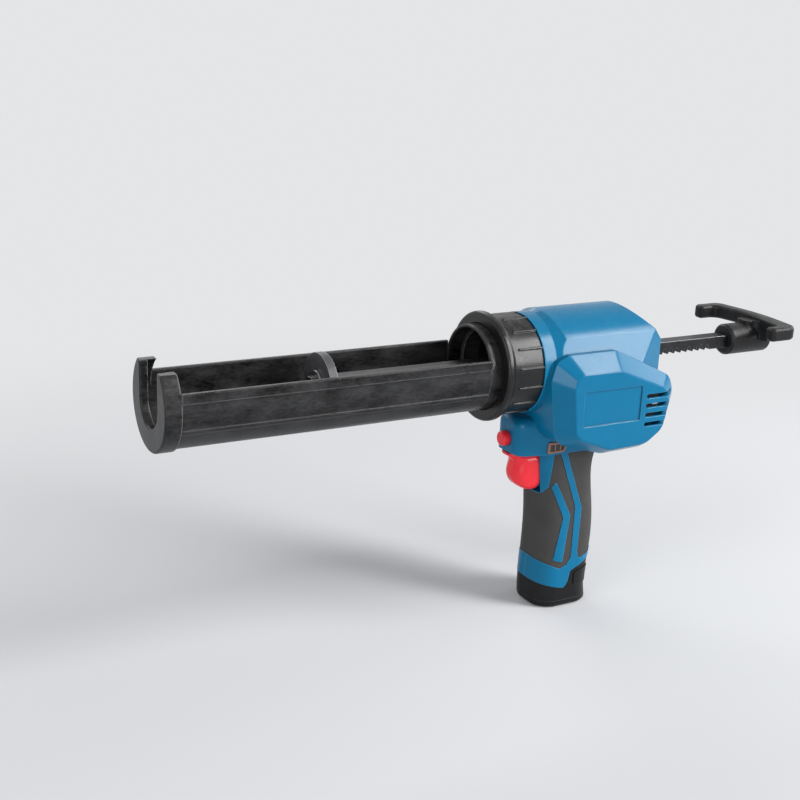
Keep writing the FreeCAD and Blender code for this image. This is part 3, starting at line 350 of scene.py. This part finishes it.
    def build_crevice(self) -> bpy.types.NodeTree:
        """Painted shade: darkening in joints and inner corners, found by ambient occlusion; the output is a
        mask.

        Returns:
            The group.
        """
        wires, given, out = self.start(Group.CREVICE, ["Reach"], "Mask")
        shut = wires.add("ShaderNodeAmbientOcclusion", samples=SHADER_SAMPLES)
        wires.feed(given["Reach"], shut.inputs["Distance"])
        wires.feed(wires.between(wires.math("SUBTRACT", 1.0, shut.outputs["AO"]), *self.shut_range), out)
        return wires.tree

    def place(self, wires: Wiring, group: Group, **values: float) -> bpy.types.NodeSocket:
        """Put a group into a material.

        Args:
            wires: The material's wiring.
            group: Which effect.
            **values: The effect's inputs.

        Returns:
            The group's output.
        """
        node = wires.add("ShaderNodeGroup", node_tree=self.trees[group])
        for title, value in values.items():
            node.inputs[title].default_value = value
        return node.outputs[0]


@dataclass(frozen=True)
class Finish:
    """One surface finish; lengths are in millimetres."""

    name: str
    colour: Colour
    shade: Colour
    roughness: tuple[float, float]
    mottle: float = 30.0
    stretch: float = 1.0
    contrast: float = 1.6
    grain: float = 0.45
    grain_depth: float = 0.02
    edge: float = 0.6
    # Colour of rubbed edges, which also stands in for highlights on rounded edges
    wear_and_highlight: Colour | None = None
    dust: float = 0.05
    # Share of the painted shade in joints and inner corners
    painted_shade: float = 0.6
    metallic: float = 0.0
    coat: float = 0.0
    specular: float = 0.3

    def material(self, groups: ShaderGroups) -> bpy.types.Material:
        """Build the finish as a material.

        Args:
            groups: The shared effects.

        Returns:
            The material.
        """
        made = bpy.data.materials.new(self.name)
        made.use_nodes = True
        wires = Wiring(made.node_tree)
        shader = made.node_tree.nodes["Principled BSDF"]
        shader.inputs["Metallic"].default_value = self.metallic
        shader.inputs["Specular IOR Level"].default_value = self.specular
        shader.inputs["Coat Weight"].default_value = self.coat
        shader.inputs["Coat Roughness"].default_value = COAT_ROUGHNESS
        clouds = groups.place(wires, Group.MOTTLE, Scale=1 / (self.mottle * MM), Stretch=self.stretch,
                              Contrast=self.contrast)
        colour = wires.mix(clouds, self.shade, self.colour)
        # Edge wear, partly a painted highlight on rounded edges
        if self.wear_and_highlight is not None:
            wear_and_highlight_mask = groups.place(wires, Group.EDGE, Width=self.edge * MM, Scale=1 / (WEAR_AND_HIGHLIGHT_PATCH * MM))
            colour = wires.mix(wires.math("MULTIPLY", wear_and_highlight_mask, WEAR_AND_HIGHLIGHT_SHARE), colour, self.wear_and_highlight)
        settled = groups.place(wires, Group.DUST, Scale=1 / (DUST_PATCH * MM))
        colour = wires.mix(wires.math("MULTIPLY", settled, self.dust), colour, DUST_COLOUR)
        # Painted shade: joints and inner corners darkened by ambient occlusion
        painted_shade_mask = groups.place(wires, Group.CREVICE, Reach=PAINTED_SHADE_REACH * MM)
        colour = wires.mix(wires.math("MULTIPLY", painted_shade_mask, self.painted_shade), colour, PAINTED_SHADE_COLOUR)
        wires.feed(colour, shader.inputs["Base Color"])
        low, high = self.roughness
        rough = wires.math("ADD", wires.math("MULTIPLY", clouds, high - low), low)
        wires.feed(rough, shader.inputs["Roughness"])
        self.relief(groups, wires, shader)
        return made

    def relief(self, groups: ShaderGroups, wires: Wiring, shader: bpy.types.Node) -> None:
        """Wire the rounded edges and the fine grain to the shader's normal.

        Args:
            groups: The shared effects.
            wires: The material's wiring.
            shader: The material's shader.
        """
        rounded = wires.add("ShaderNodeBevel", samples=SHADER_SAMPLES)
        rounded.inputs["Radius"].default_value = self.edge * MM
        bump = wires.add("ShaderNodeBump")
        bump.inputs["Strength"].default_value = 1.0
        bump.inputs["Distance"].default_value = self.grain_depth * MM
        height = groups.place(wires, Group.GRAIN, Scale=1 / (self.grain * MM))
        wires.feed(height, bump.inputs["Height"])
        wires.feed(rounded.outputs["Normal"], bump.inputs["Normal"])
        wires.feed(bump.outputs["Normal"], shader.inputs["Normal"])


# The pale rubbed edges of the blue shell and the carrier are wear and also painted highlights
BLUE_SHELL = Finish("blue_moulding", srgb(0, 108, 148), srgb(0, 99, 138), (0.22, 0.28), mottle=60, grain=0.35,
                    grain_depth=0.005, edge=0.8, wear_and_highlight=srgb(70, 150, 196), dust=0.02, specular=0.22)
CARRIER_CAST = Finish("carrier_moulding", srgb(50, 50, 51), srgb(9, 9, 10), (0.26, 0.42), mottle=9,
                      stretch=2.4, contrast=3.6, grain=0.7, grain_depth=0.05, edge=1.4,
                      wear_and_highlight=srgb(126, 126, 126), specular=0.24)
RING_MOULDING = Finish("ring_moulding", srgb(24, 24, 25), srgb(15, 15, 16), (0.24, 0.34), mottle=14,
                       contrast=2.2, wear_and_highlight=srgb(120, 120, 122), specular=0.32)
HANDLE_MOULDING = Finish("handle_moulding", srgb(34, 34, 35), srgb(22, 22, 23), (0.32, 0.46), mottle=12,
                         contrast=2.2, wear_and_highlight=srgb(96, 96, 98), specular=0.2)
BATTERY_MOULDING = Finish("battery_moulding", srgb(24, 24, 25), srgb(16, 16, 17), (0.36, 0.5), mottle=16,
                          grain_depth=0.03, wear_and_highlight=srgb(70, 70, 72), specular=0.2)
INNER_MOULDING = Finish("inner_moulding", srgb(34, 34, 36), srgb(26, 26, 28), (0.42, 0.56), mottle=12)
GRIP_RUBBER = Finish("grip_rubber", srgb(68, 67, 66), srgb(52, 51, 50), (0.6, 0.72), mottle=14, grain=0.6,
                     grain_depth=0.05, dust=0.08, specular=0.25)
RED_MOULDING = Finish("red_moulding", srgb(240, 46, 58), srgb(228, 34, 48), (0.26, 0.34), mottle=20,
                      grain_depth=0.006, wear_and_highlight=srgb(244, 120, 120), coat=0.1)
BLACK_NYLON = Finish("black_nylon", srgb(28, 28, 30), srgb(20, 20, 22), (0.4, 0.5))
NATURAL_NYLON = Finish("natural_nylon", srgb(206, 200, 186), srgb(188, 182, 168), (0.42, 0.55))
BLACK_STEEL = Finish("blackened_steel", srgb(60, 60, 62), srgb(38, 38, 40), (0.32, 0.46), mottle=8, grain=0.3,
                     grain_depth=0.006, wear_and_highlight=srgb(150, 150, 152), metallic=0.85, specular=0.5)
PISTON_STEEL = Finish("piston_steel", srgb(90, 90, 92), srgb(62, 62, 64), (0.36, 0.52), mottle=7, grain=0.4,
                      grain_depth=0.012, wear_and_highlight=srgb(190, 190, 192), metallic=0.35, specular=0.4)
BRIGHT_STEEL = Finish("ground_steel", srgb(190, 191, 193), srgb(165, 166, 168), (0.22, 0.36), mottle=6,
                      grain=0.25, grain_depth=0.004, metallic=1.0, specular=0.5)
GEAR_STEEL = Finish("gear_steel", srgb(150, 150, 152), srgb(120, 120, 122), (0.26, 0.4), mottle=5, grain=0.25,
                    grain_depth=0.004, wear_and_highlight=srgb(205, 205, 206), metallic=1.0, specular=0.5)
CAST_ALLOY = Finish("cast_alloy", srgb(168, 170, 172), srgb(140, 142, 145), (0.42, 0.6), mottle=6, grain=0.5,
                    grain_depth=0.03, metallic=1.0, specular=0.5)
DARK_ALLOY = Finish("dark_alloy", srgb(40, 40, 42), srgb(28, 28, 30), (0.4, 0.55), mottle=6, grain=0.5,
                    grain_depth=0.03, metallic=0.6)
BRONZE = Finish("sintered_bronze", srgb(196, 150, 84), srgb(168, 122, 62), (0.34, 0.5), mottle=4,
                metallic=1.0, specular=0.5)
SMOKED_LENS = Finish("smoked_lens", srgb(22, 22, 26), srgb(16, 16, 19), (0.06, 0.12), mottle=20,
                     grain_depth=0.001, dust=0.02, coat=0.5)
TAN_TRIM = Finish("tan_trim", srgb(158, 118, 102), srgb(136, 100, 86), (0.4, 0.5), mottle=10,
                  grain_depth=0.006)
SOLDER_MASK = Finish("solder_mask", srgb(24, 84, 48), srgb(16, 66, 36), (0.3, 0.4), mottle=4,
                     grain_depth=0.01, coat=0.3)
SHRINK_WRAP = Finish("shrink_wrap", srgb(42, 128, 96), srgb(34, 112, 84), (0.25, 0.34), mottle=25,
                     grain_depth=0.004)


@dataclass
class Paints:
    """Materials by finish, each built the first time that it is asked for."""

    groups: ShaderGroups = field(default_factory=ShaderGroups)
    made: dict[str, bpy.types.Material] = field(default_factory=dict)

    def get(self, finish: Finish) -> bpy.types.Material:
        """Give the material of a finish.

        Args:
            finish: The finish.

        Returns:
            Its material.
        """
        if finish.name not in self.made:
            self.made[finish.name] = finish.material(self.groups)
        return self.made[finish.name]


@dataclass
class Blank:
    """A new piece under construction; its mesh is in millimetres until it is finished."""

    name: str
    body: Body
    slot: Slot
    bm: bmesh.types.BMesh = field(default_factory=bmesh.new)

    def block(self, low: Point, high: Point, rounding: float) -> None:
        """Add a block with rounded edges between two corners.

        Args:
            low: Lowest corner.
            high: Highest corner.
            rounding: Radius of the edges.
        """
        made = bmesh.ops.create_cube(self.bm, size=1.0)["verts"]
        bmesh.ops.scale(self.bm, vec=Vector(high) - Vector(low), verts=made)
        bmesh.ops.translate(self.bm, vec=(Vector(high) + Vector(low)) / 2, verts=made)
        edges = list({edge for vert in made for edge in vert.link_edges})
        bmesh.ops.bevel(self.bm, geom=edges, offset=rounding, affect="EDGES", segments=ROUND_SEGMENTS,
                        profile=0.5, material=-1)

    def finish(self, material: bpy.types.Material) -> None:
        """Close the mesh, turn it into metres and hang it on its body.

        Args:
            material: The piece's material.
        """
        bmesh.ops.remove_doubles(self.bm, verts=self.bm.verts, dist=MERGE_DISTANCE)
        bmesh.ops.recalc_face_normals(self.bm, faces=self.bm.faces)
        bmesh.ops.scale(self.bm, vec=(MM, MM, MM), verts=self.bm.verts)
        for face in self.bm.faces:
            face.smooth = True
        for edge in self.bm.edges:
            edge.smooth = edge.calc_face_angle(math.pi) < SMOOTH_ANGLE
        mesh = bpy.data.meshes.new(self.name)
        self.bm.to_mesh(mesh)
        self.bm.free()
        mesh.materials.append(material)
        piece = bpy.data.objects.new(self.name, mesh)
        bpy.context.scene.collection.objects.link(piece)
        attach(piece, self.body.value)
        log.info("built %s on %s", self.name, self.body.value)


@dataclass
class SubAssembly:
    """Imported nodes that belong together, with their finishes, and the new pieces that go with them."""

    paints: Paints
    coats: ClassVar[dict[str, Finish]] = {}

    def dress(self) -> None:
        """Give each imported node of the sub-assembly its finish."""
        for name, finish in self.coats.items():
            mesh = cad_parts[name].data
            mesh.materials.clear()
            mesh.materials.append(self.paints.get(finish))
            log.info("dressed %s in %s", name, finish.name)

    def build(self) -> None:
        """Make the new pieces; most sub-assemblies need none."""


@dataclass
class Barrel(SubAssembly):
    """Cartridge carrier, lock ring and the adaptor behind them."""

    coats: ClassVar[dict[str, Finish]] = {
        "cartridge_carrier": CARRIER_CAST, "lock_ring": RING_MOULDING, "barrel_adaptor": DARK_ALLOY,
        "front_rod_bush": BLACK_NYLON}


@dataclass
class PushRod(SubAssembly):
    """Toothed rod with its piston and pull handle."""

    coats: ClassVar[dict[str, Finish]] = {
        "rack_rod": BLACK_STEEL, "piston_plate": PISTON_STEEL, "piston_washer": BRIGHT_STEEL,
        "piston_bolt": BLACK_STEEL, "pull_handle": HANDLE_MOULDING, "handle_pin": BRIGHT_STEEL}


@dataclass
class Housing(SubAssembly):
    """Two moulded halves with their rubber pads, screws and rear bush."""

    coats: ClassVar[dict[str, Finish]] = {
        "left_housing": BLUE_SHELL, "right_housing": BLUE_SHELL, "left_grip_pad": GRIP_RUBBER,
        "right_grip_pad": GRIP_RUBBER, "housing_screws": BLACK_STEEL, "rear_rod_bush": BLACK_NYLON}


@dataclass
class ChargeGauge(SubAssembly):
    """Charge gauge on the left of the neck; lengths are in millimetres."""

    coats: ClassVar[dict[str, Finish]] = {
        "gauge_bezel": TAN_TRIM, "gauge_lens": SMOKED_LENS, "gauge_board": SOLDER_MASK}
    windows: int = 3
    bar_width: float = 0.8
    bar_round: float = 0.2
    bar_proud: float = 0.3
    bar_sink: float = 0.2

    def build(self) -> None:
        """Part the lens into windows with upright bars."""
        low, high = (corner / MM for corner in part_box("gauge_lens"))
        bars = Blank("gauge_bars", Body.HOUSING, Slot.BLACK_PLASTIC)
        for share in (count / self.windows for count in range(1, self.windows)):
            middle = low.x + share * (high.x - low.x)
            bars.block((middle - self.bar_width / 2, low.y - self.bar_proud, low.z),
                       (middle + self.bar_width / 2, low.y + self.bar_sink, high.z), self.bar_round)
        bars.finish(self.paints.get(TAN_TRIM))


@dataclass
class Drive(SubAssembly):
    """Gear frame, gears, motor and control board inside the housing."""

    coats: ClassVar[dict[str, Finish]] = {
        "gear_frame": CAST_ALLOY, "frame_screws": BRIGHT_STEEL, "left_shaft_bush": BRONZE,
        "right_shaft_bush": BRONZE, "rod_backing_pad": NATURAL_NYLON, "cross_shaft": BRIGHT_STEEL,
        "rack_pinion": GEAR_STEEL, "final_gear": GEAR_STEEL, "shaft_clips": BRIGHT_STEEL,
        "output_shaft": BRIGHT_STEEL, "drive_gear": GEAR_STEEL, "gearbox_case": BRIGHT_STEEL,
        "motor_can": BRIGHT_STEEL, "motor_end_cap": INNER_MOULDING, "motor_terminals": BRIGHT_STEEL,
        "control_board": SOLDER_MASK}


@dataclass
class Controls(SubAssembly):
    """Trigger, lock button, switch and battery contacts."""

    coats: ClassVar[dict[str, Finish]] = {
        "trigger": RED_MOULDING, "lock_button": RED_MOULDING, "trigger_plunger": NATURAL_NYLON,
        "switch_body": INNER_MOULDING, "contact_block": INNER_MOULDING, "contact_blades": BRONZE}


@dataclass
class BatteryPack(SubAssembly):
    """Slide-out battery foot with its cells and side latches."""

    coats: ClassVar[dict[str, Finish]] = {
        "battery_case": BATTERY_MOULDING, "battery_base": BATTERY_MOULDING, "battery_cells": SHRINK_WRAP,
        "cell_holder": INNER_MOULDING, "left_latch": BATTERY_MOULDING, "right_latch": BATTERY_MOULDING}


@dataclass(frozen=True)
class SoftBox:
    """One soft lamp; lengths are in metres and the power is in watts."""

    name: str
    place: Point
    target: Point
    size: tuple[float, float]
    power: float
    upright: Point = (0.0, 0.0, 1.0)

    def hang(self) -> None:
        """Hang the lamp so that it faces its target, out of the camera's sight."""
        data = bpy.data.lights.new(self.name, "AREA")
        data.shape = "RECTANGLE"
        data.size, data.size_y = self.size
        data.energy = self.power
        box = bpy.data.objects.new(self.name, data)
        back = (Vector(self.place) - Vector(self.target)).normalized()
        across = Vector(self.upright).cross(back).normalized()
        turn = Matrix((across, back.cross(across), back)).transposed()
        box.matrix_world = Matrix.Translation(self.place) @ turn.to_4x4()
        box.visible_camera = False
        bpy.context.scene.collection.objects.link(box)
        log.info("hung %s", self.name)


# A long slanted key on the right, a box beside it, two weak fills in front and a rim lamp behind
LAMPS = (
    SoftBox("key_strip", (1.85, -1.725, 1.65), (0.0, 0.0, 0.16), (0.7, 2.5), 122.0, (0.0, 0.40, 0.47)),
    SoftBox("side_box", (3.07, 0.25, 1.31), (0.02, 0.0, 0.16), (1.5, 1.25), 22.0),
    SoftBox("front_fill", (-3.1, -1.25, 2.15), (-0.1, 0.0, 0.15), (1.75, 1.75), 31.0),
    SoftBox("low_fill", (-1.845, -2.5, 0.60), (-0.02, 0.0, 0.10), (1.25, 1.25), 25.0),
    SoftBox("rim_box", (-0.25, 3.0, 2.12), (0.0, 0.0, 0.17), (3.5, 1.0), 40.0))


@dataclass
class Studio:
    """Pale floor, soft lamps and the camera; lengths are in metres."""

    camera_place: Point = (-0.5069, -0.6692, 0.3930)
    camera_right: Point = (0.87598, -0.48055, 0.04164)
    camera_up: Point = (0.10601, 0.27603, 0.95528)
    lens: float = 58.06
    sensor: float = 36.0
    clip_start: float = 0.01
    floor_half: float = 12.0
    floor_roughness: float = 0.9
    floor_specular: float = 0.1
    floor_colour: Colour = srgb(208, 209, 211)
    lit_radius: float = 0.30
    plain_radius: float = 0.80
    backdrop_colour: Colour = srgb(228, 229, 231)
    sky_colour: Colour = srgb(235, 238, 242)
    sky_strength: float = 0.25

    def build(self) -> None:
        """Make the floor, the lamps, the sky and the camera."""
        self.build_floor()
        for lamp in LAMPS:
            lamp.hang()
        self.build_sky()
        self.build_camera()

    def build_floor(self) -> None:
        """Lay a wide flat floor under the foot."""
        bm = bmesh.new()
        bmesh.ops.create_grid(bm, x_segments=1, y_segments=1, size=self.floor_half)
        mesh = bpy.data.meshes.new("studio_floor")
        bm.to_mesh(mesh)
        bm.free()
        mesh.materials.append(self.paper())
        floor = bpy.data.objects.new("studio_floor", mesh)
        bpy.context.scene.collection.objects.link(floor)

    def paper(self) -> bpy.types.Material:
        """Build the floor's paper, which fades to the plain backdrop and is clear from below.

        Returns:
            The material.
        """
        paper = bpy.data.materials.new("studio_paper")
        paper.use_nodes = True
        wires = Wiring(paper.node_tree)
        shader = paper.node_tree.nodes["Principled BSDF"]
        shader.inputs["Base Color"].default_value = (*self.floor_colour, 1.0)
        shader.inputs["Roughness"].default_value = self.floor_roughness
        shader.inputs["Specular IOR Level"].default_value = self.floor_specular
        plain = wires.add("ShaderNodeEmission")
        plain.inputs["Color"].default_value = (*self.backdrop_colour, 1.0)
        reach = wires.add("ShaderNodeVectorMath", operation="LENGTH")
        wires.feed(wires.add("ShaderNodeTexCoord").outputs["Object"], reach.inputs[0])
        away = wires.between(reach.outputs["Value"], self.lit_radius, self.plain_radius)
        join = wires.add("ShaderNodeMixShader")
        wires.feed(wires.math("MULTIPLY", away, wires.seen()), join.inputs[0])
        wires.feed(shader.outputs[0], join.inputs[1])
        wires.feed(plain.outputs[0], join.inputs[2])
        below = wires.add("ShaderNodeMixShader")
        wires.feed(wires.add("ShaderNodeNewGeometry").outputs["Backfacing"], below.inputs[0])
        wires.feed(join.outputs[0], below.inputs[1])
        wires.feed(wires.add("ShaderNodeBsdfTransparent").outputs[0], below.inputs[2])
        wires.feed(below.outputs[0], paper.node_tree.nodes["Material Output"].inputs["Surface"])
        return paper

    def build_sky(self) -> None:
        """Fill the room with an even pale light, and show the plain backdrop above the floor."""
        world = bpy.data.worlds.new("studio_room")
        world.use_nodes = True
        wires = Wiring(world.node_tree)
        sky = world.node_tree.nodes["Background"]
        sky.inputs["Color"].default_value = (*self.sky_colour, 1.0)
        sky.inputs["Strength"].default_value = self.sky_strength
        plain = wires.add("ShaderNodeBackground")
        plain.inputs["Color"].default_value = (*self.backdrop_colour, 1.0)
        join = wires.add("ShaderNodeMixShader")
        wires.feed(wires.seen(), join.inputs[0])
        wires.feed(sky.outputs[0], join.inputs[1])
        wires.feed(plain.outputs[0], join.inputs[2])
        wires.feed(join.outputs[0], world.node_tree.nodes["World Output"].inputs["Surface"])
        bpy.context.scene.world = world

    def build_camera(self) -> None:
        """Stand the camera where the photograph was taken from."""
        data = bpy.data.cameras.new("photo_camera")
        data.lens = self.lens
        data.sensor_width = self.sensor
        data.clip_start = self.clip_start
        camera = bpy.data.objects.new("photo_camera", data)
        right, up = Vector(self.camera_right), Vector(self.camera_up)
        turn = Matrix((right, up, right.cross(up))).transposed()
        camera.matrix_world = Matrix.Translation(self.camera_place) @ turn.to_4x4()
        bpy.context.scene.collection.objects.link(camera)
        bpy.context.scene.camera = camera


def main() -> None:
    """Dress the frame, add the new pieces and set up the studio."""
    logging.basicConfig(level=logging.INFO, format="%(name)s: %(message)s")
    bpy.context.scene.view_settings.view_transform = "Standard"
    paints = Paints()
    for kind in (Barrel, PushRod, Housing, ChargeGauge, Drive, Controls, BatteryPack):
        part = kind(paints)
        part.dress()
        part.build()
    Studio().build()


if __name__ == "__main__":
    main()
